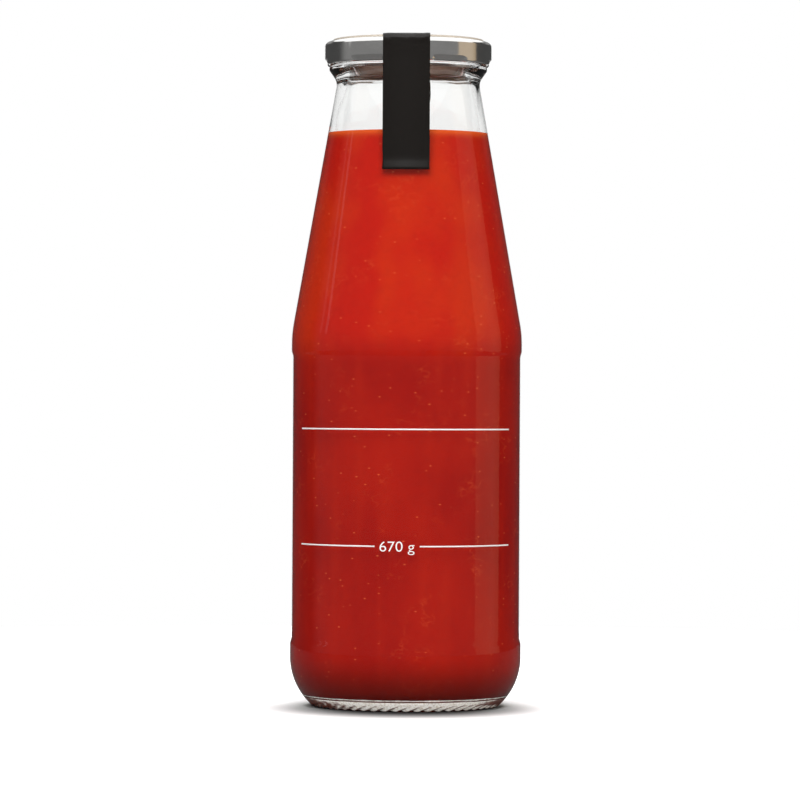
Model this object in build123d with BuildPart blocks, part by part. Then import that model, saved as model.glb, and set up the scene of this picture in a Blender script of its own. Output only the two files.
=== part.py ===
"""Passata bottle: a clear glass bottle of tomato passata under a pressed twist-off lid and a paper seal.

Millimetres, +Z up. The origin is the centre of the bearing ring that the bottle stands on, and the
front of the bottle faces -Y. Most pieces are turned shapes: one profile drawn in the XZ plane, radius
across and height up, and revolved about Z.
"""

import os
from math import acos, asin, atan2, cos, degrees, hypot, sin, sqrt

from build123d import *

# Outside of the glass body
body_radius = 38.7  # the two bands that stand proud of the print panel
heel_crest_z = 18.4  # where the heel's curve has reached the full radius
heel_arc_radius = 24.0
heel_band_width = 2.6  # plain band above the heel's curve
panel_recess = 0.5  # how deep the print panel lies behind the bands
panel_height = 93.2
band_roll = 2.5  # height of the soft step at each end of the panel
shoulder_band_width = 2.1
shoulder_arc_radius = 40.0
shoulder_height = 89.9  # from the shoulder band up to the straight neck
neck_blend_radius = 25.0
neck_radius = 23.85

# Glass thickness and base
wall = 2.7
neck_wall = 2.6
floor_z = 4.6  # edge of the inner floor above the bearing plane
floor_rise = 1.6  # height of the inner floor's dome
inner_heel_fillet = 4.5
punt_height = 3.0  # hollow under the base
bearing_width = 1.6  # flat ring that touches the table

# Knurls pressed round the foot of the heel
knurl_count = 48
knurl_cutter_radius = 1.6
knurl_depth = 0.5
knurl_cutter_length = 14.0

# Finish: the transfer bead, the thread lugs and the rim
neck_land = 1.1  # straight neck under the bead
bead_projection = 2.65
bead_height = 2.2
finish_step = 1.15  # finish wall beyond the neck's radius
finish_height = 8.0  # from the bead to the rim
finish_fillets = [0.8, 1.0, 1.0, 0.4, 1.2]  # corners from under the bead to the rim's outer edge
rim_inner_fillet = 0.8
lug_count = 6
lug_projection = 1.4
lug_height = 1.6
lug_fillet = 0.5
lug_span = 40.0  # degrees

# Passata
headspace = 30.2  # from the passata's level up to the rim

# Pressed steel twist-off lid
lid_clearance = 1.4  # between the thread lugs and the inside of the skirt
lid_gap = 0.2  # between the bead and the lid's lower edge
lid_sheet = 0.2
lid_corner_radius = 2.8
lid_curl_radius = 0.8
lid_lug_reach = 0.9  # how far the lid's lugs stand in from the curl
lid_lug_height = 1.1
lid_lug_lift = 0.3  # underside of the lid's lugs above the curl's underside
lid_lug_span = 23.0  # degrees
lug_gap = 0.2  # between a lid lug and the thread lug over it
lid_ring_width = 4.7  # raised outer ring of the lid's top
lid_panel_drop = 1.0
lid_panel_slope = 1.2  # width of the sloped wall between the ring and the panel
button_radius = 11.0
button_slope = 2.0
button_drop = 0.4
lid_top_fillets = [1.5, 1.5, 0.6, 0.6]  # corners of the lid's top from the button to the ring

# Sealing ring flowed into the lid
seal_thickness = 0.8
seal_lip = 0.6  # the ring starts this far out from the bore

# Paper seal over the lid
strip_width = 15.5
strip_thickness = 0.15
strip_drop = 35.7  # below the lid's lower edge
strip_glued = 3.5  # length that lies on the glass at each end

# Heights that follow from the values above
heel_band_top_z = heel_crest_z + heel_band_width
panel_bottom_z = heel_band_top_z + band_roll
panel_top_z = panel_bottom_z + panel_height
shoulder_band_z = panel_top_z + band_roll
shoulder_crest_z = shoulder_band_z + shoulder_band_width
neck_z = shoulder_crest_z + shoulder_height
bead_bottom_z = neck_z + neck_land
bead_top_z = bead_bottom_z + bead_height
rim_z = bead_top_z + finish_height
level_z = rim_z - headspace
lid_bottom_z = bead_top_z + lid_gap
lid_lug_top_z = lid_bottom_z + lid_lug_lift + lid_lug_height
lug_bottom_z = lid_lug_top_z + lug_gap
lid_under_z = rim_z + seal_thickness
lid_top_z = lid_under_z + lid_sheet
strip_end_z = lid_bottom_z - strip_drop

# Radii that follow from the values above
panel_radius = body_radius - panel_recess
inner_radius = panel_radius - wall
bore_radius = neck_radius - neck_wall
bead_radius = neck_radius + bead_projection
finish_radius = neck_radius + finish_step
lug_radius = finish_radius + lug_projection
lid_radius = lug_radius + lid_clearance + lid_sheet
lid_flat_radius = lid_radius - lid_corner_radius
lid_ring_radius = lid_flat_radius - lid_ring_width
heel_centre_r = body_radius - heel_arc_radius
foot_angle = asin(heel_crest_z / heel_arc_radius)  # the heel's curve ends this far below level
bearing_outer_radius = heel_centre_r + heel_arc_radius * cos(foot_angle)
bearing_inner_radius = bearing_outer_radius - bearing_width


def shoulder_line(crest_radius, arc_radius, end_radius, blend_radius):
    """Ends of the straight cone that is tangent to the shoulder's arc and to the neck's hollow blend."""
    arc_r = crest_radius - arc_radius
    blend_r = end_radius + blend_radius
    across, up = blend_r - arc_r, neck_z - shoulder_crest_z
    slope = atan2(up, across) - acos((arc_radius + blend_radius) / hypot(across, up))
    low = (arc_r + arc_radius * cos(slope), shoulder_crest_z + arc_radius * sin(slope))
    high = (blend_r - blend_radius * cos(slope), neck_z - blend_radius * sin(slope))
    return low, high


def draw_shoulder(crest_radius, arc_radius, end_radius, blend_radius):
    """Shoulder arc, straight cone and neck blend, drawn upwards into the current BuildLine."""
    low, high = shoulder_line(crest_radius, arc_radius, end_radius, blend_radius)
    TangentArc((crest_radius, shoulder_crest_z), low, tangent=(0, 1))
    Line(low, high)
    TangentArc(high, (end_radius, neck_z), tangent=(high[0] - low[0], high[1] - low[1]))


def draw_soft_step(low, high):
    """A smooth step between two upright walls."""
    middle_z = (low[1] + high[1]) / 2
    Bezier(low, (low[0], middle_z), (high[0], middle_z), high)


def cone_radius(z):
    """Outer radius of the glass at a height on the straight cone."""
    low, high = shoulder_line(body_radius, shoulder_arc_radius, neck_radius, neck_blend_radius)
    return low[0] + (high[0] - low[0]) * (z - low[1]) / (high[1] - low[1])


# Inside of the bottle, which shapes both the glass and what fills it
inner_heel_radius = inner_radius - heel_centre_r
floor_edge = (heel_centre_r + sqrt(inner_heel_radius**2 - (heel_crest_z - floor_z) ** 2), floor_z)
inner_arc_radius = shoulder_arc_radius - (body_radius - inner_radius)
above_rim_z = rim_z + 1.0

with BuildSketch(Plane.XZ) as cavity_profile:
    with BuildLine():
        Line((0, above_rim_z), (0, floor_z + floor_rise))
        TangentArc((0, floor_z + floor_rise), floor_edge, tangent=(1, 0))
        TangentArc((inner_radius, heel_crest_z), floor_edge, tangent=(0, -1))
        Line((inner_radius, heel_crest_z), (inner_radius, shoulder_crest_z))
        draw_shoulder(inner_radius, inner_arc_radius, bore_radius, neck_blend_radius + neck_wall)
        Line((bore_radius, neck_z), (bore_radius, above_rim_z))
        Line((bore_radius, above_rim_z), (0, above_rim_z))
    make_face()
    heel_corner = cavity_profile.vertices().sort_by_distance((floor_edge[0], floor_edge[1]))[0]
    fillet(heel_corner, inner_heel_fillet)

# One thread lug: a low ridge along part of the finish wall, under which a lug of the lid hooks
with BuildPart() as thread_lug:
    with BuildSketch(Plane.XZ) as lug_profile:
        with Locations((finish_radius + lug_projection / 2, lug_bottom_z + lug_height / 2)):
            Rectangle(lug_projection + 1.0, lug_height)
        fillet(lug_profile.vertices().group_by(Axis.X)[-1], lug_fillet)
    revolve(axis=Axis.Z, revolution_arc=lug_span)

# Glass bottle: a blown body with a domed base and a knurled foot, two bands round the print panel, a
# long conical shoulder, and the finish that the lid twists onto
with BuildPart() as glass_bottle:
    with BuildSketch(Plane.XZ):
        with BuildLine():
            Bezier(
                (0, punt_height),
                (bearing_inner_radius * 0.6, punt_height),
                (bearing_inner_radius - 2.0, punt_height),
                (bearing_inner_radius, 0),
            )
            Line((bearing_inner_radius, 0), (bearing_outer_radius, 0))
            TangentArc((body_radius, heel_crest_z), (bearing_outer_radius, 0), tangent=(0, -1))
            Line((body_radius, heel_crest_z), (body_radius, heel_band_top_z))
            draw_soft_step((body_radius, heel_band_top_z), (panel_radius, panel_bottom_z))
            Line((panel_radius, panel_bottom_z), (panel_radius, panel_top_z))
            draw_soft_step((panel_radius, panel_top_z), (body_radius, shoulder_band_z))
            Line((body_radius, shoulder_band_z), (body_radius, shoulder_crest_z))
            draw_shoulder(body_radius, shoulder_arc_radius, neck_radius, neck_blend_radius)
            FilletPolyline(
                (neck_radius, neck_z),
                (neck_radius, bead_bottom_z),
                (bead_radius, bead_bottom_z),
                (bead_radius, bead_top_z),
                (finish_radius, bead_top_z),
                (finish_radius, rim_z),
                (0, rim_z),
                radius=finish_fillets,
            )
            Line((0, rim_z), (0, punt_height))
        make_face()
    revolve(axis=Axis.Z)
    with PolarLocations(0, lug_count, start_angle=-lug_span / 2):
        add(thread_lug.part)
    revolve(cavity_profile.sketch, axis=Axis.Z, mode=Mode.SUBTRACT)
    rim_inner_edge = glass_bottle.edges().filter_by(GeomType.CIRCLE).sort_by_distance((bore_radius, 0, rim_z))[0]
    fillet(rim_inner_edge, rim_inner_fillet)
    cutter_lift = knurl_cutter_radius - knurl_depth
    with Locations((0, 0, -cutter_lift * sin(foot_angle))):
        with PolarLocations(bearing_outer_radius + cutter_lift * cos(foot_angle), knurl_count):
            Cylinder(
                knurl_cutter_radius,
                knurl_cutter_length,
                rotation=(0, degrees(foot_angle), 0),
                mode=Mode.SUBTRACT,
            )

# Passata: fills the glass up to its level
with BuildPart() as passata:
    revolve(cavity_profile.sketch, axis=Axis.Z)
    split(bisect_by=Plane.XY.offset(level_z), keep=Keep.BOTTOM)

# One lug of the lid, pressed inwards from the curl
with BuildPart() as lid_lug:
    with BuildSketch(Plane.XZ):
        lug_inner_radius = lid_radius - 2 * lid_curl_radius - lid_lug_reach
        lug_outer_radius = lid_radius - lid_curl_radius
        with Locations((lug_inner_radius, lid_lug_top_z)):
            Rectangle(lug_outer_radius - lug_inner_radius, lid_lug_height, align=(Align.MIN, Align.MAX))
    revolve(axis=Axis.Z, revolution_arc=lid_lug_span)

# Lid: pressed sheet with a raised ring round a sunk panel and button, a plain skirt and a rolled curl
panel_z = lid_top_z - lid_panel_drop
with BuildPart() as lid:
    with BuildSketch(Plane.XZ):
        with BuildLine() as sheet:
            FilletPolyline(
                (0, panel_z - button_drop),
                (button_radius - button_slope, panel_z - button_drop),
                (button_radius, panel_z),
                (lid_ring_radius - lid_panel_slope, panel_z),
                (lid_ring_radius, lid_top_z),
                (lid_radius, lid_top_z),
                (lid_radius, lid_bottom_z + lid_curl_radius),
                radius=lid_top_fillets + [lid_corner_radius],
            )
            offset(amount=lid_sheet, side=Side.RIGHT)
        make_face()
    revolve(axis=Axis.Z)
    with BuildSketch(Plane.XZ):
        with Locations((lid_radius - lid_curl_radius, lid_bottom_z + lid_curl_radius)):
            Circle(lid_curl_radius)
    revolve(axis=Axis.Z)
    with PolarLocations(0, lug_count, start_angle=-lid_lug_span / 2):
        add(lid_lug.part)

# Sealing ring between the glass rim and the lid
with BuildPart() as lid_seal:
    with BuildSketch(Plane.XY.offset(rim_z)):
        Circle(lid_flat_radius)
        Circle(bore_radius + seal_lip, mode=Mode.SUBTRACT)
    extrude(amount=seal_thickness)

# Paper seal: one strip over the lid, hanging straight from its edge to the cone at the front and back
with BuildPart() as seal_strip:
    contact_z = strip_end_z + strip_glued
    with BuildSketch(Plane.XZ):
        with BuildLine():
            FilletPolyline(
                (0, lid_top_z),
                (lid_radius, lid_top_z),
                (lid_radius, lid_bottom_z + lid_curl_radius),
                (cone_radius(contact_z), contact_z),
                (cone_radius(strip_end_z), strip_end_z),
                radius=[lid_corner_radius, 10.0, 10.0],
            )
            offset(amount=strip_thickness, side=Side.LEFT)
        make_face()
    revolve(axis=Axis.Z)
    Box(strip_width, 4 * lid_radius, 4 * rim_z, mode=Mode.INTERSECT)

os.makedirs("parts", exist_ok=True)
glass_bottle.part.label = "glass_bottle"
export_step(glass_bottle.part, "parts/glass_bottle.step")
passata.part.label = "passata"
export_step(passata.part, "parts/passata.step")
lid.part.label = "lid"
export_step(lid.part, "parts/lid.step")
lid_seal.part.label = "lid_seal"
export_step(lid_seal.part, "parts/lid_seal.step")
seal_strip.part.label = "seal_strip"
export_step(seal_strip.part, "parts/seal_strip.step")
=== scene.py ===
"""Passata bottle: clear glass, tomato passata, a twist-off lid, a black paper seal and white print.

Metres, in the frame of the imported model: +Z up, the printed front faces -Y, and the origin is the centre
of the ring that the bottle stands on. The sections follow the bottle as it is put together.
"""

from math import acos, asin, atan2, cos, degrees, hypot, pi, radians, sin, sqrt

import bpy
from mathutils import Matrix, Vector, noise


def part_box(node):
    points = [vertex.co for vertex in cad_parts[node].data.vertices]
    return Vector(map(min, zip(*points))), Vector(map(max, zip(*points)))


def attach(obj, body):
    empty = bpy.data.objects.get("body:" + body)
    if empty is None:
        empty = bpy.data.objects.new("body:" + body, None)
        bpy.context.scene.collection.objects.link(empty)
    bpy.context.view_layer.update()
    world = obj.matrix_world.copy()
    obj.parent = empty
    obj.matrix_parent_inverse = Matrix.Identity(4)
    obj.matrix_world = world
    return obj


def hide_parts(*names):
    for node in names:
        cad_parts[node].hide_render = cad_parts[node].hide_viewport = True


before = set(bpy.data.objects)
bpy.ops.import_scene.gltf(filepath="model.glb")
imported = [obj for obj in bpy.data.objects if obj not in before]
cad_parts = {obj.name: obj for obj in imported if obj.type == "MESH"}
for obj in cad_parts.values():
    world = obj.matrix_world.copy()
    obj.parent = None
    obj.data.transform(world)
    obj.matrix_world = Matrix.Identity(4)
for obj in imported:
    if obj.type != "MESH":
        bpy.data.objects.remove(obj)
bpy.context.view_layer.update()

mm = 0.001
bpy.context.scene.view_settings.view_transform = "Standard"

# ---------------------------------------------------------------------------------------------------
# Camera: level with the middle of the bottle and straight in front of it, from well back, with a long
# lens. The bottle leans by a third of a degree in the frame, so the camera is rolled by that much.

camera_distance = 1425 * mm
camera_height = 102.6 * mm
camera_data = bpy.data.cameras.new("camera")
camera_data.sensor_width = 36
camera_data.lens = 191
camera = bpy.data.objects.new("camera", camera_data)
bpy.context.scene.collection.objects.link(camera)
camera.location = (-2.2 * mm, -camera_distance, camera_height)
camera.rotation_euler = (radians(90), radians(-0.3), 0)
bpy.context.scene.camera = camera

# ---------------------------------------------------------------------------------------------------
# Glass bottle: clear flint glass, blown in a mould. Its outside is a smooth turned shape with knurls
# pressed round the foot; its inside is a little uneven, as blown glass is, which bends what shows
# through the empty neck.

glass_low, glass_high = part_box("glass_bottle")
body_radius = glass_high[0]
rim_z = glass_high[2]
fill_low, fill_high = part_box("passata")
inner_radius = fill_high[0]
level_z = fill_high[2] - 0.5 * mm

panel_radius = body_radius - 0.5 * mm
heel_crest_z = 16.5 * mm
heel_arc_radius = 21.5 * mm
heel_centre_r = body_radius - heel_arc_radius
foot_angle = asin(heel_crest_z / heel_arc_radius)
foot_radius = heel_centre_r + heel_arc_radius * cos(foot_angle)
panel_bottom_z = 23.5 * mm
panel_top_z = 116.7 * mm
band_roll = 2.5 * mm
shoulder_crest_z = 121.3 * mm
shoulder_arc_radius = 40 * mm
neck_z = 211.2 * mm
neck_radius = 23.85 * mm
neck_blend_radius = 25 * mm
bore_radius = 21.25 * mm
bead_radius = 26.5 * mm
bead_low_z = 212.3 * mm
bead_high_z = 214.5 * mm
finish_radius = 25 * mm
floor_z = 3.6 * mm
floor_centre_z = 5.8 * mm


def arc_points(centre, radius, start, end, steps):
    """Points on an arc, angles in radians from the +radius direction, both ends included."""
    turns = [start + (end - start) * step / steps for step in range(steps + 1)]
    return [(centre[0] + radius * cos(turn), centre[1] + radius * sin(turn)) for turn in turns]


def line_points(low, high, steps):
    """Points along a straight run, without its first one."""
    shares = [step / steps for step in range(1, steps + 1)]
    return [(low[0] + (high[0] - low[0]) * share, low[1] + (high[1] - low[1]) * share) for share in shares]


def soft_step_points(low, high, steps):
    """A smooth step between two upright walls, without its first point."""
    points = []
    for step in range(1, steps + 1):
        share = step / steps
        eased = share * share * (3 - 2 * share)
        points.append((low[0] + (high[0] - low[0]) * eased, low[1] + (high[1] - low[1]) * share))
    return points


def rounded_points(corners, radii, steps):
    """A run of straight lines with its inner corners rounded, both ends included."""
    points = [corners[0]]
    for before, corner, after, radius in zip(corners, corners[1:], corners[2:], radii):
        to_before = (Vector(before) - Vector(corner)).normalized()
        to_after = (Vector(after) - Vector(corner)).normalized()
        half_angle = to_before.angle(to_after) / 2
        centre = Vector(corner) + (to_before + to_after).normalized() * radius / sin(half_angle)
        setback = radius * cos(half_angle) / sin(half_angle)
        first = (Vector(corner) + to_before * setback - centre).normalized()
        last = (Vector(corner) + to_after * setback - centre).normalized()
        for step in range(steps + 1):
            points.append(tuple(centre + first.slerp(last, step / steps) * radius))
    return points + [corners[-1]]


def shoulder_points(crest_radius, arc_radius, end_radius, blend_radius, cone_steps):
    """Shoulder arc, straight cone and hollow neck blend, from the shoulder up to the neck."""
    arc_r = crest_radius - arc_radius
    blend_r = end_radius + blend_radius
    across, up = blend_r - arc_r, neck_z - shoulder_crest_z
    slope = atan2(up, across) - acos((arc_radius + blend_radius) / hypot(across, up))
    crest = arc_points((arc_r, shoulder_crest_z), arc_radius, 0, slope, 6)
    blend = arc_points((blend_r, neck_z), blend_radius, pi + slope, pi, 6)
    return crest + line_points(crest[-1], blend[0], cone_steps)[:-1] + blend


def turned_piece(name, outline, steps, start=0, turn=2 * pi):
    """Draws an outline of (radius, height) points by extruding one point along it, then spins it round."""
    bpy.ops.object.select_all(action="DESELECT")
    bpy.ops.mesh.primitive_plane_add(size=mm, location=(outline[0][0], 0, outline[0][1]))
    piece = bpy.context.object
    piece.name = piece.data.name = name
    bpy.ops.object.mode_set(mode="EDIT")
    bpy.ops.mesh.merge(type="CENTER")
    for (radius, height), (next_radius, next_height) in zip(outline, outline[1:]):
        move = (next_radius - radius, 0, next_height - height)
        bpy.ops.mesh.extrude_region_move(TRANSFORM_OT_translate={"value": move})
    bpy.ops.mesh.select_all(action="SELECT")
    bpy.ops.mesh.spin(steps=steps, angle=turn, center=(0, 0, 0), axis=(0, 0, -1))
    bpy.ops.mesh.select_all(action="SELECT")
    bpy.ops.mesh.remove_doubles(threshold=0.0005 * mm)
    bpy.ops.mesh.normals_make_consistent(inside=False)
    bpy.ops.object.mode_set(mode="OBJECT")
    bpy.ops.object.transform_apply(location=True, rotation=True, scale=True)
    piece.rotation_euler = (0, 0, start)
    bpy.ops.object.transform_apply(location=True, rotation=True, scale=True)
    bpy.ops.object.shade_smooth()
    return piece


def give_thickness(piece, thickness, side):
    """Gives an open sheet its thickness, outwards for side 1 and inwards for side -1."""
    modifier = piece.modifiers.new("thickness", "SOLIDIFY")
    modifier.thickness = thickness
    modifier.offset = side
    bpy.context.view_layer.objects.active = piece
    bpy.ops.object.modifier_apply(modifier="thickness")


def swell(piece, name, height, share):
    """Moves the surface out by height times share, which is a function of a point, from 0 to 1."""
    group = piece.vertex_groups.new(name=name)
    for vertex in piece.data.vertices:
        weight = share(vertex.co)
        if weight > 0:
            group.add([vertex.index], weight, "REPLACE")
    modifier = piece.modifiers.new(name, "DISPLACE")
    modifier.vertex_group = name
    modifier.mid_level = 0
    modifier.strength = height
    bpy.context.view_layer.objects.active = piece
    bpy.ops.object.modifier_apply(modifier=name)
    piece.vertex_groups.remove(piece.vertex_groups[name])


def inner_wall_points(reach, top_z, neck_steps):
    """Inside of the glass from its top down to the middle of the floor, moved into the glass by reach."""
    wall_arc = shoulder_arc_radius - (body_radius - inner_radius)
    neck_arc = neck_blend_radius + neck_radius - bore_radius
    shoulder = shoulder_points(inner_radius, wall_arc, bore_radius, neck_arc, neck_steps)
    upper = [(bore_radius, top_z)] + line_points((bore_radius, top_z), (bore_radius, neck_z), 8)
    heel_radius = inner_radius - heel_centre_r
    edge_angle = asin((heel_crest_z - floor_z) / heel_radius)
    heel = arc_points((heel_centre_r, heel_crest_z), heel_radius, 0, -edge_angle * 0.86, 10)
    edge = (heel_centre_r + heel_radius * cos(edge_angle), floor_z)
    corner = rounded_points([heel[-1], edge, (edge[0] * 0.8, floor_z + 0.3 * mm)], [3 * mm], 5)
    dome = [(edge[0] * 0.8 * (1 - step / 6), 0) for step in range(1, 7)]
    rise = floor_centre_z - floor_z - 0.3 * mm
    dome = [(radius, floor_centre_z - rise * (radius / (edge[0] * 0.8)) ** 2) for radius, _ in dome]
    points = upper + shoulder[::-1][1:] + heel + corner[1:] + dome
    moved = []
    for index, (radius, height) in enumerate(points):
        before, after = points[max(index - 1, 0)], points[min(index + 1, len(points) - 1)]
        along = Vector((after[0] - before[0], after[1] - before[1])).normalized()
        moved.append((max(radius - along[1] * reach, 0), height + along[0] * reach))
    moved[-1] = (0, moved[-1][1])
    return moved


knurl_count = 54
knurl_depth = 0.5 * mm
knurl_slant = -1.1  # pitches that a groove leans over along its length
knurl_length = 3.0 * mm
round_steps = 480
foot_ring_top_z = 3.05 * mm

punt = [(0, 3 * mm)]
for step in range(1, 9):
    share = step / 8
    punt.append((share * (foot_radius - 3.2 * mm), (3 - 0.5 * share**4) * mm))
foot = rounded_points(
    [punt[-1], (foot_radius - 1.9 * mm, 0), (foot_radius - 0.2 * mm, 0)], [0.8 * mm], 4
)
outside = punt + foot[1:]
outside += arc_points((heel_centre_r, heel_crest_z), heel_arc_radius, -foot_angle, -foot_angle * 0.72, 14)
outside += arc_points((heel_centre_r, heel_crest_z), heel_arc_radius, -foot_angle * 0.7, 0, 12)
outside += [(body_radius, panel_bottom_z - band_roll)]
outside += soft_step_points((body_radius, panel_bottom_z - band_roll), (panel_radius, panel_bottom_z), 8)
outside += line_points((panel_radius, panel_bottom_z), (panel_radius, panel_top_z), 4)
outside += soft_step_points((panel_radius, panel_top_z), (body_radius, panel_top_z + band_roll), 8)
cone = shoulder_points(body_radius, shoulder_arc_radius, neck_radius, neck_blend_radius, 10)[:-6]
outside += cone
cone_end_z = bead_low_z - 3.2 * mm
cone_end_r = cone[-1][0] - (cone_end_z - cone[-1][1]) * 0.1763
outside += rounded_points(
    [
        cone[-1],
        (cone_end_r, cone_end_z),
        (bead_radius, bead_low_z + 0.6 * mm),
        (bead_radius, bead_high_z),
        (finish_radius, bead_high_z),
    ],
    [4 * mm, 0.8 * mm, 0.7 * mm],
    7,
)[1:]
outside += line_points((finish_radius, bead_high_z), (finish_radius, rim_z - 1.2 * mm), 16)
outside += rounded_points(
    [(finish_radius, rim_z - 1.2 * mm), (finish_radius, rim_z), (bore_radius, rim_z), (bore_radius, rim_z - 1 * mm)],
    [1.1 * mm, 0.8 * mm],
    5,
)[1:-1]
inside = inner_wall_points(0, rim_z - 1 * mm, 24)
glass = turned_piece("clear_glass_bottle", outside + inside, round_steps)


def knurl_share(point):
    """Depth of the slanted grooves round the foot, which fade out up the heel."""
    radius = hypot(point.x, point.y)
    along = hypot(radius - foot_radius, point.z)
    if radius < foot_radius - 0.9 * mm or point.z > knurl_length or along > knurl_length:
        return 0
    fade = min(1, 1.6 * (1 - along / knurl_length))
    phase = atan2(point.y, point.x) * knurl_count / (2 * pi) + knurl_slant * along / knurl_length
    wave = 0.5 + 0.5 * cos(2 * pi * phase)
    return fade * wave**1.5


def under_knurl_share(point):
    """Where the clear glass lies under the stippled ring."""
    radius = hypot(point.x, point.y)
    if radius < foot_radius - 1.2 * mm or point.z > foot_ring_top_z:
        return 0
    return min(1, (foot_ring_top_z - point.z) / (0.3 * mm))


thread_height = 1.4 * mm
thread_low_z, thread_high_z = 216.3 * mm, 217.9 * mm
thread_count = 6
thread_half_angle = radians(20)
thread_turn = radians(30)


def thread_share(point):
    """Six short thread lugs round the finish, which the lid's lugs hook under."""
    if hypot(point.x, point.y) < finish_radius - 0.05 * mm:
        return 0
    angle = (atan2(point.y, point.x) - thread_turn) % (2 * pi / thread_count)
    angle = min(angle, 2 * pi / thread_count - angle)
    along = min(1, max(0, (thread_half_angle - angle) / radians(5)))
    low, high = point.z - thread_low_z + 0.3 * mm, thread_high_z + 0.3 * mm - point.z
    return along * min(1, max(0, min(low, high) / (0.6 * mm)))


def uneven_share(point):
    """Slow waves on the inside of the empty neck, which fade out at the passata's level."""
    radius = hypot(point.x, point.y)
    half_wall = (bore_radius + neck_radius) / 2 + max(0, neck_z - point.z) * 0.14
    if point.z < level_z or point.z > rim_z - 2 * mm or radius > half_wall:
        return 0
    fade = min(1, (point.z - level_z) / (5 * mm))
    place = point * 85 + Vector((3.7, 1.3, 0.4))
    place.z *= 0.8
    return fade * min(1, max(0, 0.5 + 0.5 * noise.noise(place) + 0.2 * noise.noise(place * 2.3)))


swell(glass, "knurls", -knurl_depth - 0.35 * mm, under_knurl_share)
swell(glass, "thread", thread_height, thread_share)
swell(glass, "uneven", -0.7 * mm, uneven_share)


def new_material(name):
    """An empty node material and the tools to fill it: its node tree and its output node."""
    material = bpy.data.materials.new(name)
    material.use_nodes = True
    tree = material.node_tree
    tree.nodes.clear()
    return material, tree, tree.nodes.new("ShaderNodeOutputMaterial")


def clear_glass_material():
    """Clear flint glass. It bends what shows through it, and it lets lamps and bounced light through to what it holds.
    Its colour turns grey towards its edges as seen: painted shade for the dark studio that edges of glass show."""
    material, tree, output = new_material("clear_glass")
    nodes, links = tree.nodes, tree.links
    surface = nodes.new("ShaderNodeBsdfPrincipled")
    surface.inputs["Transmission Weight"].default_value = 1.0
    surface.inputs["Roughness"].default_value = 0.0
    surface.inputs["IOR"].default_value = 1.5
    # Painted shade: by the facing angle, the glass's colour is mixed towards grey at its edges.
    weight = nodes.new("ShaderNodeLayerWeight")
    weight.inputs["Blend"].default_value = 0.5
    edge = nodes.new("ShaderNodeMapRange")
    edge.inputs["From Min"].default_value = 0.70
    edge.inputs["From Max"].default_value = 1.0
    links.new(weight.outputs["Facing"], edge.inputs["Value"])
    painted_edge_shade = nodes.new("ShaderNodeMix")
    painted_edge_shade.data_type = "RGBA"
    painted_edge_shade.inputs["A"].default_value = (0.985, 0.99, 0.985, 1)
    painted_edge_shade.inputs["B"].default_value = (0.42, 0.42, 0.40, 1)
    links.new(edge.outputs["Result"], painted_edge_shade.inputs["Factor"])
    links.new(painted_edge_shade.outputs["Result"], surface.inputs["Base Color"])
    path = nodes.new("ShaderNodeLightPath")
    clear = nodes.new("ShaderNodeBsdfTransparent")
    clear.inputs["Color"].default_value = (0.96, 0.97, 0.96, 1)
    for_lamps = nodes.new("ShaderNodeMixShader")
    links.new(path.outputs["Is Shadow Ray"], for_lamps.inputs["Fac"])
    links.new(surface.outputs["BSDF"], for_lamps.inputs[1])
    links.new(clear.outputs["BSDF"], for_lamps.inputs[2])
    for_bounces = nodes.new("ShaderNodeMixShader")
    links.new(path.outputs["Is Diffuse Ray"], for_bounces.inputs["Fac"])
    links.new(for_lamps.outputs["Shader"], for_bounces.inputs[1])
    links.new(clear.outputs["BSDF"], for_bounces.inputs[2])
    links.new(for_bounces.outputs["Shader"], output.inputs["Surface"])
    return material


glass.data.materials.append(clear_glass_material())
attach(glass, "root")
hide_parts("glass_bottle")

# ---------------------------------------------------------------------------------------------------
# Foot ring: the same glass where it meets the table, moulded with slanted knurls and stippled, so that
# it scatters the light of the table and looks pale. Painted shade darkens it in the knurl grooves and
# towards its sides as seen. A thin broken ridge runs round just above it.

ridge_share = 0.45 * mm


def foot_band(name, low_angle, high_angle, depth):
    """A closed ring that follows the heel between two angles of its arc, from its surface inwards."""
    centre = (heel_centre_r, heel_crest_z)
    outline = arc_points(centre, heel_arc_radius, high_angle, low_angle, 14)
    outline += arc_points(centre, heel_arc_radius - depth, low_angle, high_angle, 8)
    band = turned_piece(name, outline + [outline[0]], round_steps)
    # Stores the knurl groove depth at each point; the material paints shade in the grooves by it.
    groove_shade_weight = band.data.color_attributes.new("groove", "FLOAT_COLOR", "POINT")
    for index, vertex in enumerate(band.data.vertices):
        share = knurl_share(vertex.co)
        groove_shade_weight.data[index].color = (share, share, share, 1)
    return band


def heel_angle(height):
    """Angle on the heel's arc at a height."""
    return -asin((heel_crest_z - height) / heel_arc_radius)


def ridge_wave(point):
    """Where the thin ridge sinks into the glass, so that it shows broken."""
    return min(1, max(0, 0.35 + 0.9 * noise.noise(point * 260)))


foot_ring = foot_band("knurled_foot_ring", heel_angle(0.15 * mm), heel_angle(foot_ring_top_z), 1.3 * mm)
swell(foot_ring, "knurls", -knurl_depth, knurl_share)
ridge = foot_band("foot_ridge", heel_angle(3.6 * mm), heel_angle(3.95 * mm), 0.5 * mm)
swell(ridge, "broken", -ridge_share, ridge_wave)

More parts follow.
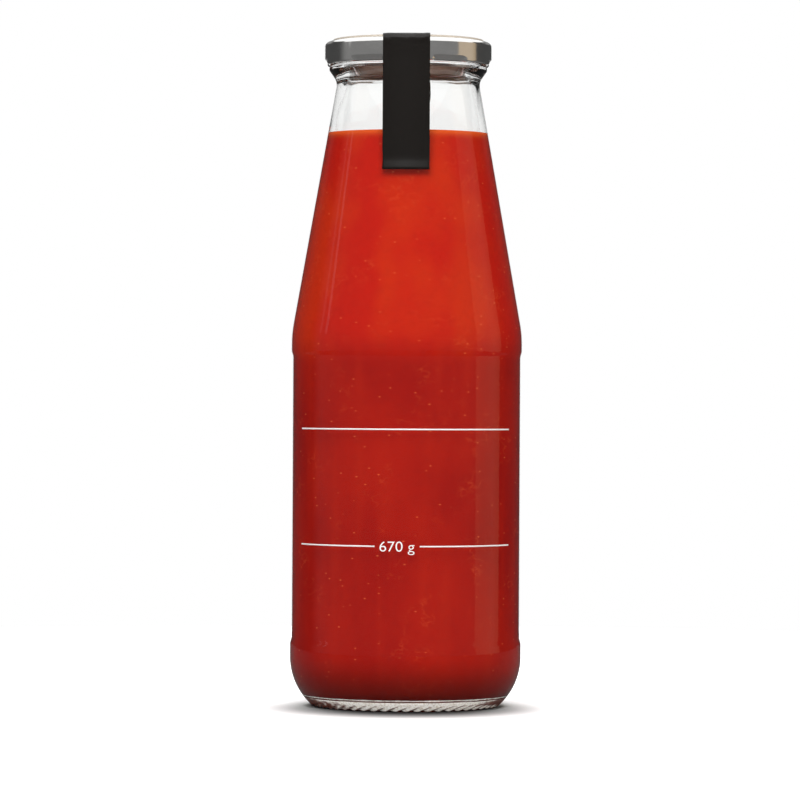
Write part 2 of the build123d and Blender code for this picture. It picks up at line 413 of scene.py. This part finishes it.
stippled_glass, tree, output = new_material("stippled_glass")
surface = tree.nodes.new("ShaderNodeBsdfPrincipled")
groove = tree.nodes.new("ShaderNodeVertexColor")
groove.layer_name = "groove"
stipple_place = tree.nodes.new("ShaderNodeTexCoord")
stipple = tree.nodes.new("ShaderNodeTexNoise")
stipple.inputs["Scale"].default_value = 1400
stipple.inputs["Detail"].default_value = 2
tree.links.new(stipple_place.outputs["Object"], stipple.inputs["Vector"])
pale = tree.nodes.new("ShaderNodeMix")
pale.data_type = "RGBA"
pale.inputs["A"].default_value = (0.70, 0.63, 0.53, 1)
pale.inputs["B"].default_value = (0.98, 0.96, 0.91, 1)
speckle = tree.nodes.new("ShaderNodeMapRange")
speckle.inputs["From Min"].default_value = 0.30
speckle.inputs["From Max"].default_value = 0.55
tree.links.new(stipple.outputs["Fac"], speckle.inputs["Value"])
tree.links.new(speckle.outputs["Result"], pale.inputs["Factor"])
# Painted shade: the bottom of each knurl groove is mixed towards dark brown.
groove_shade_mask = tree.nodes.new("ShaderNodeMapRange")
groove_shade_mask.inputs["From Min"].default_value = 0.72
groove_shade_mask.inputs["From Max"].default_value = 1.0
tree.links.new(groove.outputs["Color"], groove_shade_mask.inputs["Value"])
tone = tree.nodes.new("ShaderNodeMix")
tone.data_type = "RGBA"
tree.links.new(groove_shade_mask.outputs["Result"], tone.inputs["Factor"])
tree.links.new(pale.outputs["Result"], tone.inputs["A"])
tone.inputs["B"].default_value = (0.10, 0.05, 0.035, 1)
# Painted shade: towards the sides as seen, by the facing angle with a little noise, the ring is mixed towards dark red.
grazing = tree.nodes.new("ShaderNodeLayerWeight")
grazing.inputs["Blend"].default_value = 0.5
sparkle = tree.nodes.new("ShaderNodeTexNoise")
sparkle.inputs["Scale"].default_value = 500
tree.links.new(stipple_place.outputs["Object"], sparkle.inputs["Vector"])
uneven_edge = tree.nodes.new("ShaderNodeMath")
uneven_edge.operation = "MULTIPLY_ADD"
tree.links.new(sparkle.outputs["Fac"], uneven_edge.inputs[0])
uneven_edge.inputs[1].default_value = -0.5
tree.links.new(grazing.outputs["Facing"], uneven_edge.inputs[2])
side_shade_mask = tree.nodes.new("ShaderNodeMapRange")
side_shade_mask.inputs["From Min"].default_value = 0.22
side_shade_mask.inputs["From Max"].default_value = 0.42
tree.links.new(uneven_edge.outputs["Value"], side_shade_mask.inputs["Value"])
painted_side_shade = tree.nodes.new("ShaderNodeMix")
painted_side_shade.data_type = "RGBA"
tree.links.new(side_shade_mask.outputs["Result"], painted_side_shade.inputs["Factor"])
tree.links.new(tone.outputs["Result"], painted_side_shade.inputs["A"])
painted_side_shade.inputs["B"].default_value = (0.13, 0.030, 0.018, 1)
tree.links.new(painted_side_shade.outputs["Result"], surface.inputs["Base Color"])
surface.inputs["Roughness"].default_value = 0.30
tree.links.new(surface.outputs["BSDF"], output.inputs["Surface"])
for band in (foot_ring, ridge):
    band.data.materials.append(stippled_glass)
    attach(band, "root")

# ---------------------------------------------------------------------------------------------------
# Passata: smooth sieved tomato, thick and slightly glossy, with fine pulp and a few pale flecks. It
# fills the glass up into the neck, reaches just into the wall so that no air shows, and has a thin
# paler orange edge at its top.

wall_reach = 0.35 * mm
passata_points = [point for point in inner_wall_points(wall_reach, rim_z, 24) if point[1] < level_z - 0.3 * mm]
level_radius = passata_points[0][0] - 0.1 * mm
top = [(0, level_z - 0.7 * mm)]
for step in range(1, 13):
    share = step / 12
    top.append((level_radius * share, level_z - 0.7 * mm * (1 - share**5)))
passata = turned_piece("tomato_passata", top + passata_points, 240)


def passata_material():
    """Tomato red with soft clouds, streaks, pulp and flecks; painted light makes it brighter and warmer from the
    shoulder up, and painted shade makes it dark in the heel.
    """
    material, tree, output = new_material("passata")
    nodes, links = tree.nodes, tree.links
    surface = nodes.new("ShaderNodeBsdfPrincipled")
    place = nodes.new("ShaderNodeTexCoord")

    def feed(value, socket):
        if isinstance(value, bpy.types.NodeSocket):
            links.new(value, socket)
        else:
            socket.default_value = value

    def mix(factor, under, over):
        node = nodes.new("ShaderNodeMix")
        node.data_type = "RGBA"
        for socket, value in (("Factor", factor), ("A", under), ("B", over)):
            feed(value, node.inputs[socket])
        return node.outputs["Result"]

    def ranged(value, low, high, least=0.0, most=1.0):
        node = nodes.new("ShaderNodeMapRange")
        node.interpolation_type = "SMOOTHSTEP"
        node.inputs["From Min"].default_value = low
        node.inputs["From Max"].default_value = high
        node.inputs["To Min"].default_value = least
        node.inputs["To Max"].default_value = most
        links.new(value, node.inputs["Value"])
        return node.outputs["Result"]

    def maths(operation, first, second=0.0):
        node = nodes.new("ShaderNodeMath")
        node.operation = operation
        feed(first, node.inputs[0])
        feed(second, node.inputs[1])
        return node.outputs["Value"]

    def stretched(stretch):
        node = nodes.new("ShaderNodeMapping")
        node.inputs["Scale"].default_value = stretch
        links.new(place.outputs["Object"], node.inputs["Vector"])
        return node.outputs["Vector"]

    def clouds(scale, detail, stretch):
        node = nodes.new("ShaderNodeTexNoise")
        node.inputs["Scale"].default_value = scale
        node.inputs["Detail"].default_value = detail
        links.new(stretched(stretch), node.inputs["Vector"])
        return node.outputs["Fac"]

    def flecks(scale, size, rarity, stretch):
        node = nodes.new("ShaderNodeTexVoronoi")
        node.inputs["Scale"].default_value = scale
        links.new(stretched(stretch), node.inputs["Vector"])
        chance = nodes.new("ShaderNodeSeparateColor")
        links.new(node.outputs["Color"], chance.inputs["Color"])
        chosen = ranged(chance.outputs["Red"], rarity, rarity + 0.2)
        return maths("MULTIPLY", ranged(node.outputs["Distance"], size, size * 0.3), chosen)

    def wisps(scale, width, stretch):
        ridge = maths("ABSOLUTE", maths("SUBTRACT", clouds(scale, 3, stretch), 0.5))
        return maths("MULTIPLY", ranged(ridge, width, 0.0), ranged(clouds(90, 2, (1, 1, 1)), 0.52, 0.68))

    split = nodes.new("ShaderNodeSeparateXYZ")
    links.new(place.outputs["Object"], split.inputs["Vector"])
    cloudy = ranged(clouds(34, 3, (1, 1, 0.7)), 0.35, 0.68)
    streaky = ranged(clouds(150, 2, (1, 1, 0.12)), 0.45, 0.75, 0, 0.45)
    pulpy = ranged(clouds(700, 3, (1, 1, 1)), 0.42, 0.75, 0, 0.5)
    # Painted light: above the shoulder the passata is given a brighter, warmer red, where the upward-facing cone is lit
    # more.
    warm = ranged(clouds(46, 2, (1, 1, 0.55)), 0.40, 0.62)
    painted_lit_upper_colour = mix(warm, (0.505, 0.0090, 0.0022, 1), (0.555, 0.0240, 0.0026, 1))
    colour = mix(cloudy, (0.325, 0.0040, 0.0011, 1), (0.395, 0.0075, 0.0015, 1))
    colour = mix(streaky, colour, (0.44, 0.0130, 0.0027, 1))
    upper = ranged(split.outputs["Z"], 113 * mm, 125 * mm, 0, 0.9)
    colour = mix(upper, colour, painted_lit_upper_colour)
    colour = mix(pulpy, colour, mix(0.82, (0, 0, 0, 1), colour))
    colour = mix(maths("MULTIPLY", wisps(170, 0.025, (1, 1, 1.6)), 0.32), colour, (0.66, 0.075, 0.020, 1))
    colour = mix(maths("MULTIPLY", flecks(250, 0.15, 0.45, (1, 1, 1.9)), 0.7), colour, (0.72, 0.11, 0.035, 1))
    # Painted shade: the passata is darkened towards the bottom, where less light reaches it through the heel.
    heel = ranged(split.outputs["Z"], 20 * mm, 4 * mm, 0, 0.84)
    colour = mix(heel, colour, (0.085, 0.0030, 0.0010, 1))
    edge = maths("POWER", ranged(split.outputs["Z"], level_z - 4.5 * mm, level_z), 3.0)
    colour = mix(edge, colour, (0.66, 0.085, 0.012, 1))
    links.new(colour, surface.inputs["Base Color"])
    surface.inputs["Roughness"].default_value = 0.35
    surface.inputs["Specular IOR Level"].default_value = 0.0
    links.new(surface.outputs["BSDF"], output.inputs["Surface"])
    return material


passata.data.materials.append(passata_material())
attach(passata, "root")
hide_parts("passata")

# ---------------------------------------------------------------------------------------------------
# Print: opaque white ink, screen-printed on the panel's glass: one rule all across the front, and lower
# down another with the net weight set in it. The names between them are left out.

front = radians(-90)
ink_gap = 0.02 * mm
ink_thickness = 0.05 * mm
rule_width = 0.46 * mm
upper_rule_z = 93.0 * mm
lower_rule_z = 54.7 * mm
rule_left, rule_right = radians(-65), radians(62.5)
weight_height = 3.3 * mm
weight_left, weight_right = -8.7 * mm, 2.8 * mm
weight_space = 1.7 * mm

ink, tree, output = new_material("white_ink")
surface = tree.nodes.new("ShaderNodeBsdfPrincipled")
ink_place = tree.nodes.new("ShaderNodeTexCoord")
ink_grain = tree.nodes.new("ShaderNodeTexNoise")
ink_grain.inputs["Scale"].default_value = 2500
tree.links.new(ink_place.outputs["Object"], ink_grain.inputs["Vector"])
ink_tone = tree.nodes.new("ShaderNodeMix")
ink_tone.data_type = "RGBA"
ink_tone.inputs["A"].default_value = (0.86, 0.84, 0.82, 1)
ink_tone.inputs["B"].default_value = (0.95, 0.94, 0.92, 1)
tree.links.new(ink_grain.outputs["Fac"], ink_tone.inputs["Factor"])
tree.links.new(ink_tone.outputs["Result"], surface.inputs["Base Color"])
surface.inputs["Roughness"].default_value = 0.45
tree.links.new(surface.outputs["BSDF"], output.inputs["Surface"])


def print_rule(name, height, left, right):
    """One printed rule round the front of the panel, between two angles from the middle."""
    edge = [
        (panel_radius + ink_gap, height + rule_width / 2),
        (panel_radius + ink_gap, height - rule_width / 2),
    ]
    rule = turned_piece(name, edge, max(8, int((right - left) * 60)), front + left, right - left)
    give_thickness(rule, ink_thickness, 1)
    rule.data.materials.append(ink)
    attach(rule, "root")


print_rule("rule_upper", upper_rule_z, rule_left, rule_right)
print_rule("rule_lower_left", lower_rule_z, rule_left, (weight_left - weight_space) / panel_radius)
print_rule("rule_lower_right", lower_rule_z, (weight_right + weight_space) / panel_radius, rule_right)

bpy.ops.object.select_all(action="DESELECT")
bpy.ops.object.text_add(location=(0, 0, 0))
net_weight = bpy.context.object
net_weight.name = net_weight.data.name = "net_weight"
net_weight.data.body = "670 g"
net_weight.data.extrude = ink_thickness / 2
net_weight.data.offset = -0.006
bpy.ops.object.convert(target="MESH")
text_low = [min(vertex.co[axis] for vertex in net_weight.data.vertices) for axis in (0, 1)]
text_high = [max(vertex.co[axis] for vertex in net_weight.data.vertices) for axis in (0, 1)]
digit_top = max(vertex.co.y for vertex in net_weight.data.vertices)
size = weight_height / digit_top
stretch = (weight_right - weight_left) / (text_high[0] - text_low[0])
for vertex in net_weight.data.vertices:
    across = weight_left + (vertex.co.x - text_low[0]) * stretch
    height = lower_rule_z + (vertex.co.y - digit_top / 2) * size
    depth = panel_radius + 0.03 * mm + ink_thickness / 2 + vertex.co.z
    angle = front + across / panel_radius
    vertex.co = (depth * cos(angle), depth * sin(angle), height)
net_weight.data.materials.append(ink)
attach(net_weight, "root")

# ---------------------------------------------------------------------------------------------------
# Sealing ring: soft compound flowed into the lid, which sits on the glass rim. The CAD ring stays.

seal_compound, tree, output = new_material("seal_compound")
surface = tree.nodes.new("ShaderNodeBsdfPrincipled")
surface.inputs["Base Color"].default_value = (0.55, 0.48, 0.40, 1)
surface.inputs["Roughness"].default_value = 0.6
tree.links.new(surface.outputs["BSDF"], output.inputs["Surface"])
for slot in bpy.data.objects["lid_seal"].material_slots:
    slot.material = seal_compound

# ---------------------------------------------------------------------------------------------------
# Lid: pressed tinplate with a satin silver lacquer outside and a brown-gold one inside. Its edge is
# rolled into a curl, and six lugs are pressed inwards from it to hook under the glass thread.

lid_low, lid_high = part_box("lid")
lid_radius = lid_high[0]
lid_top_z, lid_bottom_z = lid_high[2], lid_low[2]
lid_sheet = 0.2 * mm
lid_corner = 1.6 * mm
lid_fall = 1.3 * mm
curl_radius = 0.8 * mm
ring_radius = 20.5 * mm
panel_drop, button_drop = 1.0 * mm, 0.4 * mm
lug_count = 6
lug_half_angle = radians(14)
lug_depth = 1.2 * mm

lid_outline = rounded_points(
    [
        (0, lid_top_z - panel_drop - button_drop),
        (9 * mm, lid_top_z - panel_drop - button_drop),
        (11 * mm, lid_top_z - panel_drop),
        (ring_radius - 1.2 * mm, lid_top_z - panel_drop),
        (ring_radius, lid_top_z),
        (ring_radius + 2 * mm, lid_top_z),
        (lid_radius, lid_top_z - lid_fall),
        (lid_radius, lid_bottom_z + 3.5 * mm),
    ],
    [1.5 * mm, 1.5 * mm, 0.6 * mm, 0.6 * mm, 1.5 * mm, lid_corner],
    8,
)
lid_outline += line_points(lid_outline[-1], (lid_radius, lid_bottom_z + curl_radius), 9)
lid_outline += arc_points(
    (lid_radius - curl_radius, lid_bottom_z + curl_radius), curl_radius, 0, radians(-250), 12
)[1:]
lid = turned_piece("twist_off_lid", lid_outline, 240)
give_thickness(lid, lid_sheet, -1)


def lug_share(point):
    """How far a point of the skirt is pressed in: all of the curl at a lug, and less up the skirt."""
    angle = atan2(point.y, point.x) % (2 * pi / lug_count)
    angle = min(angle, 2 * pi / lug_count - angle)
    along = min(1, max(0, (lug_half_angle - angle) / radians(4)))
    up = min(1, max(0, 1 - (point.z - lid_bottom_z - 0.6 * mm) / (1.5 * mm)))
    return along * along * (3 - 2 * along) * up * up * (3 - 2 * up)


for vertex in lid.data.vertices:
    radius = hypot(vertex.co.x, vertex.co.y)
    if radius > ring_radius + 2 * mm and vertex.co.z < lid_bottom_z + 4 * mm:
        scale = 1 - lug_depth * lug_share(vertex.co) / radius
        vertex.co.x *= scale
        vertex.co.y *= scale


def lid_metal(name, base, worn, roughness, metallic):
    """Lacquered tinplate with a faint mottle and fine scuffs."""
    material, tree, output = new_material(name)
    surface = tree.nodes.new("ShaderNodeBsdfPrincipled")
    place = tree.nodes.new("ShaderNodeTexCoord")
    mottle = tree.nodes.new("ShaderNodeTexNoise")
    mottle.inputs["Scale"].default_value = 180
    mottle.inputs["Detail"].default_value = 4
    tree.links.new(place.outputs["Object"], mottle.inputs["Vector"])
    tone = tree.nodes.new("ShaderNodeMix")
    tone.data_type = "RGBA"
    tone.inputs["A"].default_value = base
    tone.inputs["B"].default_value = worn
    tree.links.new(mottle.outputs["Fac"], tone.inputs["Factor"])
    tree.links.new(tone.outputs["Result"], surface.inputs["Base Color"])
    rough = tree.nodes.new("ShaderNodeMapRange")
    rough.inputs["To Min"].default_value = roughness - 0.05
    rough.inputs["To Max"].default_value = roughness + 0.08
    tree.links.new(mottle.outputs["Fac"], rough.inputs["Value"])
    tree.links.new(rough.outputs["Result"], surface.inputs["Roughness"])
    surface.inputs["Metallic"].default_value = metallic
    tree.links.new(surface.outputs["BSDF"], output.inputs["Surface"])
    return material


lid.data.materials.append(lid_metal("silver_lacquer", (0.78, 0.77, 0.75, 1), (0.88, 0.87, 0.85, 1), 0.12, 1.0))
lid.data.materials.append(lid_metal("gold_lacquer", (0.20, 0.10, 0.06, 1), (0.30, 0.17, 0.10, 1), 0.35, 0.6))
for face in lid.data.polygons:
    radial = hypot(face.center.x, face.center.y)
    spoke = face.normal.x * face.center.x + face.normal.y * face.center.y
    under_top = radial < lid_radius - lid_corner and face.normal.z < -0.3
    inside_skirt = spoke < 0 and radial < lid_radius - 0.1 * mm and face.center.z > lid_bottom_z + 1.7 * mm
    if under_top or (inside_skirt and face.center.z < lid_top_z - 0.15 * mm and radial > ring_radius + mm):
        face.material_index = 1
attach(lid, "root")
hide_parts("lid")

# ---------------------------------------------------------------------------------------------------
# Paper seal: one black coated strip glued over the lid and down to the shoulder, front and back. It is
# pulled straight from the lid's edge to the glass and is a little crumpled where it goes over the edge.

strip_low, strip_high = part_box("seal_strip")
strip_half_width = strip_high[0]
strip_off_centre = -0.65 * mm
strip_end_z = strip_low[2] - 0.5 * mm
strip_sheet = 0.12 * mm
strip_gap = 0.02 * mm
strip_contact_z = strip_end_z + 3.5 * mm
cone_low, cone_high = shoulder_points(body_radius, shoulder_arc_radius, neck_radius, neck_blend_radius, 1)[6:8]


def cone_radius(height):
    """Outside of the glass at a height on the shoulder's straight cone."""
    share = (height - cone_low[1]) / (cone_high[1] - cone_low[1])
    return cone_low[0] + (cone_high[0] - cone_low[0]) * share


over_lid = rounded_points(
    [
        (0, lid_top_z + strip_gap),
        (lid_radius + strip_gap, lid_top_z + strip_gap),
        (lid_radius + strip_gap, lid_bottom_z + curl_radius),
    ],
    [lid_corner],
    10,
)
strip_outline = [over_lid[0]] + line_points(over_lid[0], over_lid[1], 20) + over_lid[2:-1]
strip_outline += line_points(over_lid[-2], over_lid[-1], 8)
contact = (cone_radius(strip_contact_z) + strip_gap, strip_contact_z)
strip_outline += line_points(over_lid[-1], contact, 24)
strip_outline += line_points(contact, (cone_radius(strip_end_z) + strip_gap, strip_end_z), 4)
strip = turned_piece("black_paper_seal", strip_outline, 256)
bpy.ops.object.mode_set(mode="EDIT")
for side in (1, -1):
    bpy.ops.mesh.select_all(action="SELECT")
    bpy.ops.mesh.bisect(
        plane_co=(strip_off_centre + side * strip_half_width, 0, 0),
        plane_no=(side, 0, 0),
        clear_outer=True,
    )
bpy.ops.object.mode_set(mode="OBJECT")


def crumple_share(point):
    """Small creases where the strip bends over the lid's edge."""
    away = abs(point.z - (lid_top_z - 1.2 * mm))
    if away > 3 * mm or hypot(point.x, point.y) < lid_radius - 4 * mm:
        return 0
    return (1 - away / (3 * mm)) * max(0, noise.noise(Vector((point.x * 420, point.y * 90, point.z * 700))))


swell(strip, "crumple", 0.35 * mm, crumple_share)
give_thickness(strip, strip_sheet, 1)

paper, tree, output = new_material("black_paper")
surface = tree.nodes.new("ShaderNodeBsdfPrincipled")
paper_place = tree.nodes.new("ShaderNodeTexCoord")
paper_grain = tree.nodes.new("ShaderNodeTexNoise")
paper_grain.inputs["Scale"].default_value = 900
paper_grain.inputs["Detail"].default_value = 3
tree.links.new(paper_place.outputs["Object"], paper_grain.inputs["Vector"])
paper_tone = tree.nodes.new("ShaderNodeMix")
paper_tone.data_type = "RGBA"
paper_tone.inputs["A"].default_value = (0.0060, 0.0045, 0.0036, 1)
paper_tone.inputs["B"].default_value = (0.0090, 0.0070, 0.0056, 1)
tree.links.new(paper_grain.outputs["Fac"], paper_tone.inputs["Factor"])
tree.links.new(paper_tone.outputs["Result"], surface.inputs["Base Color"])
surface.inputs["Roughness"].default_value = 0.25
surface.inputs["Specular IOR Level"].default_value = 0.30
tree.links.new(surface.outputs["BSDF"], output.inputs["Surface"])
strip.data.materials.append(paper)
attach(strip, "root")
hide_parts("seal_strip")

# ---------------------------------------------------------------------------------------------------
# Stage: a pale floor that runs into a white backdrop, with a painted shadow round the foot, big soft lamps
# above and in front, and a warm soft panel at the right. What shines sees a dim studio, lighter in front and above.

bpy.ops.object.select_all(action="DESELECT")
bpy.ops.mesh.primitive_circle_add(vertices=96, radius=0.5, fill_type="NGON", location=(0, 0, 0))
floor = bpy.context.object
floor.name = "floor"
floor_paint, tree, output = new_material("pale_floor")
path = tree.nodes.new("ShaderNodeLightPath")
seen = tree.nodes.new("ShaderNodeMath")
seen.operation = "MAXIMUM"
tree.links.new(path.outputs["Is Camera Ray"], seen.inputs[0])
tree.links.new(path.outputs["Is Transmission Ray"], seen.inputs[1])
paint = tree.nodes.new("ShaderNodeBsdfDiffuse")
paint_tone = tree.nodes.new("ShaderNodeMix")
paint_tone.data_type = "RGBA"
paint_tone.inputs["A"].default_value = (0.68, 0.68, 0.68, 1)
tree.links.new(seen.outputs["Value"], paint_tone.inputs["Factor"])
glow = tree.nodes.new("ShaderNodeEmission")
dim_tone = tree.nodes.new("ShaderNodeMix")
dim_tone.data_type = "RGBA"
dim_tone.inputs["B"].default_value = (0.12, 0.12, 0.12, 1)
tree.links.new(path.outputs["Is Glossy Ray"], dim_tone.inputs["Factor"])
tree.links.new(paint_tone.outputs["Result"], dim_tone.inputs["A"])
tree.links.new(dim_tone.outputs["Result"], paint.inputs["Color"])
glow_strength = tree.nodes.new("ShaderNodeMath")
glow_strength.operation = "MULTIPLY"
place = tree.nodes.new("ShaderNodeTexCoord")
reach = tree.nodes.new("ShaderNodeVectorMath")
reach.operation = "DISTANCE"
reach.inputs[1].default_value = (0, -14 * mm, 0)
tree.links.new(place.outputs["Object"], reach.inputs[0])
away = tree.nodes.new("ShaderNodeMapRange")
away.inputs["From Min"].default_value = 36 * mm
away.inputs["From Max"].default_value = 75 * mm
away.inputs["To Max"].default_value = 0.75
tree.links.new(reach.outputs["Value"], away.inputs["Value"])
# Painted shadow: seen by the camera and through glass, the floor is mixed towards black round the foot, a little
# further out in front, and fades to its pale paint a few centimetres away.
contact = tree.nodes.new("ShaderNodeMapRange")
contact.interpolation_type = "SMOOTHSTEP"
contact.inputs["From Min"].default_value = 20 * mm
contact.inputs["From Max"].default_value = 53 * mm
contact.inputs["To Min"].default_value = 0.05
tree.links.new(reach.outputs["Value"], contact.inputs["Value"])
painted_contact_shadow = tree.nodes.new("ShaderNodeMix")
painted_contact_shadow.data_type = "RGBA"
painted_contact_shadow.inputs["A"].default_value = (0, 0, 0, 1)
painted_contact_shadow.inputs["B"].default_value = (0.85, 0.85, 0.85, 1)
tree.links.new(contact.outputs["Result"], painted_contact_shadow.inputs["Factor"])
tree.links.new(painted_contact_shadow.outputs["Result"], paint_tone.inputs["B"])
tree.links.new(away.outputs["Result"], glow_strength.inputs[1])
tree.links.new(seen.outputs["Value"], glow_strength.inputs[0])
tree.links.new(glow_strength.outputs["Value"], glow.inputs["Strength"])
both = tree.nodes.new("ShaderNodeAddShader")
tree.links.new(paint.outputs["BSDF"], both.inputs[0])
tree.links.new(glow.outputs["Emission"], both.inputs[1])
tree.links.new(both.outputs["Shader"], output.inputs["Surface"])
floor.data.materials.append(floor_paint)


def soft_lamp(name, place, target, width, height, power, colour=(1, 1, 1)):
    """A rectangular soft box, turned towards its target."""
    lamp_data = bpy.data.lights.new(name, "AREA")
    lamp_data.shape = "RECTANGLE"
    lamp_data.size, lamp_data.size_y = width, height
    lamp_data.energy = power
    lamp_data.color = colour
    lamp = bpy.data.objects.new(name, lamp_data)
    bpy.context.scene.collection.objects.link(lamp)
    lamp.location = place
    lamp.rotation_euler = (Vector(target) - Vector(place)).to_track_quat("-Z", "Y").to_euler()


middle = (0, 0, 0.12)
soft_lamp("front_box", (-0.05, -0.85, 0.95), middle, 0.8, 0.6, 12.8)
soft_lamp("top_box", (0, 0.1, 1.1), middle, 1.0, 1.0, 7.5)
soft_lamp("right_panel", (0.62, -0.015, 0.26), (0, 0, 0.26), 0.37, 0.9, 0.34, (1.0, 0.70, 0.36))

canopy_radius = 0.27
canopy_light, tree, output = new_material("canopy_light")
glow = tree.nodes.new("ShaderNodeEmission")
glow.inputs["Strength"].default_value = 1.3
tree.links.new(glow.outputs["Emission"], output.inputs["Surface"])
for name, low_edge, start, turn in (("front", 0.30, -190, 200), ("back_right", 0.35, 10, 72), ("back_left", 0.35, 98, 72)):
    sheet = [(canopy_radius, low_edge), (canopy_radius, 0.50), (0.05, 0.62)]
    canopy = turned_piece("canopy_" + name, sheet, 40, radians(start), radians(turn))
    canopy.data.materials.append(canopy_light)
    canopy.visible_camera = canopy.visible_diffuse = canopy.visible_shadow = canopy.visible_transmission = False

world = bpy.data.worlds.new("studio")
bpy.context.scene.world = world
world.use_nodes = True
tree = world.node_tree
tree.nodes.clear()
output = tree.nodes.new("ShaderNodeOutputWorld")
path = tree.nodes.new("ShaderNodeLightPath")
direction = tree.nodes.new("ShaderNodeTexCoord")
parts = tree.nodes.new("ShaderNodeSeparateXYZ")
tree.links.new(direction.outputs["Generated"], parts.inputs["Vector"])


def studio_level(axis, low, high, least, most):
    """Brightness of the studio, from least to most along one direction."""
    node = tree.nodes.new("ShaderNodeMapRange")
    node.interpolation_type = "SMOOTHSTEP"
    node.inputs["From Min"].default_value = low
    node.inputs["From Max"].default_value = high
    node.inputs["To Min"].default_value = least
    node.inputs["To Max"].default_value = most
    tree.links.new(parts.outputs[axis], node.inputs["Value"])
    return node.outputs["Result"]


def calculated(operation, first, second):
    node = tree.nodes.new("ShaderNodeMath")
    node.operation = operation
    tree.links.new(first, node.inputs[0])
    tree.links.new(second, node.inputs[1])
    return node.outputs["Value"]


in_front = studio_level("Y", 0.08, 0.38, 0.215, 0.06)
above = studio_level("Z", 0.50, 0.90, 0.0, 0.5)
backdrop = studio_level("Y", 0.972, 0.982, 0.0, 1.0)
window_side = calculated("MULTIPLY", studio_level("X", -0.80, -0.90, 0.0, 1.0), studio_level("Z", 0.10, 0.16, 0.0, 1.0))
window_side = calculated("MULTIPLY", window_side, studio_level("Z", 0.40, 0.33, 0.0, 1.0))
window_bar = calculated("MULTIPLY", studio_level("Y", -0.06, -0.02, 0.0, 0.38), studio_level("Y", 0.03, -0.01, 0.0, 1.0))
window_edge = calculated("MULTIPLY", studio_level("Y", 0.07, 0.12, 0.0, 0.16), studio_level("Y", 0.16, 0.12, 0.0, 1.0))
window = calculated("MULTIPLY", window_side, calculated("ADD", window_bar, window_edge))
low_sky = calculated("MULTIPLY", studio_level("Z", 0.14, 0.26, 0.0, 0.25), studio_level("Y", 0.6, 0.9, 0.0, 1.0))
studio = calculated("ADD", calculated("ADD", in_front, above), calculated("ADD", window, low_sky))
gloss_level = calculated("MAXIMUM", studio, backdrop)
level = tree.nodes.new("ShaderNodeMix")
level.inputs["A"].default_value = 0.30
tree.links.new(path.outputs["Is Glossy Ray"], level.inputs["Factor"])
tree.links.new(gloss_level, level.inputs["B"])
shown = tree.nodes.new("ShaderNodeMix")
seen = calculated("MAXIMUM", path.outputs["Is Camera Ray"], path.outputs["Is Transmission Ray"])
tree.links.new(seen, shown.inputs["Factor"])
tree.links.new(level.outputs["Result"], shown.inputs["A"])
shown.inputs["B"].default_value = 1.0
background = tree.nodes.new("ShaderNodeBackground")
background.inputs["Color"].default_value = (1, 1, 1, 1)
tree.links.new(shown.outputs["Result"], background.inputs["Strength"])
tree.links.new(background.outputs["Background"], output.inputs["Surface"])
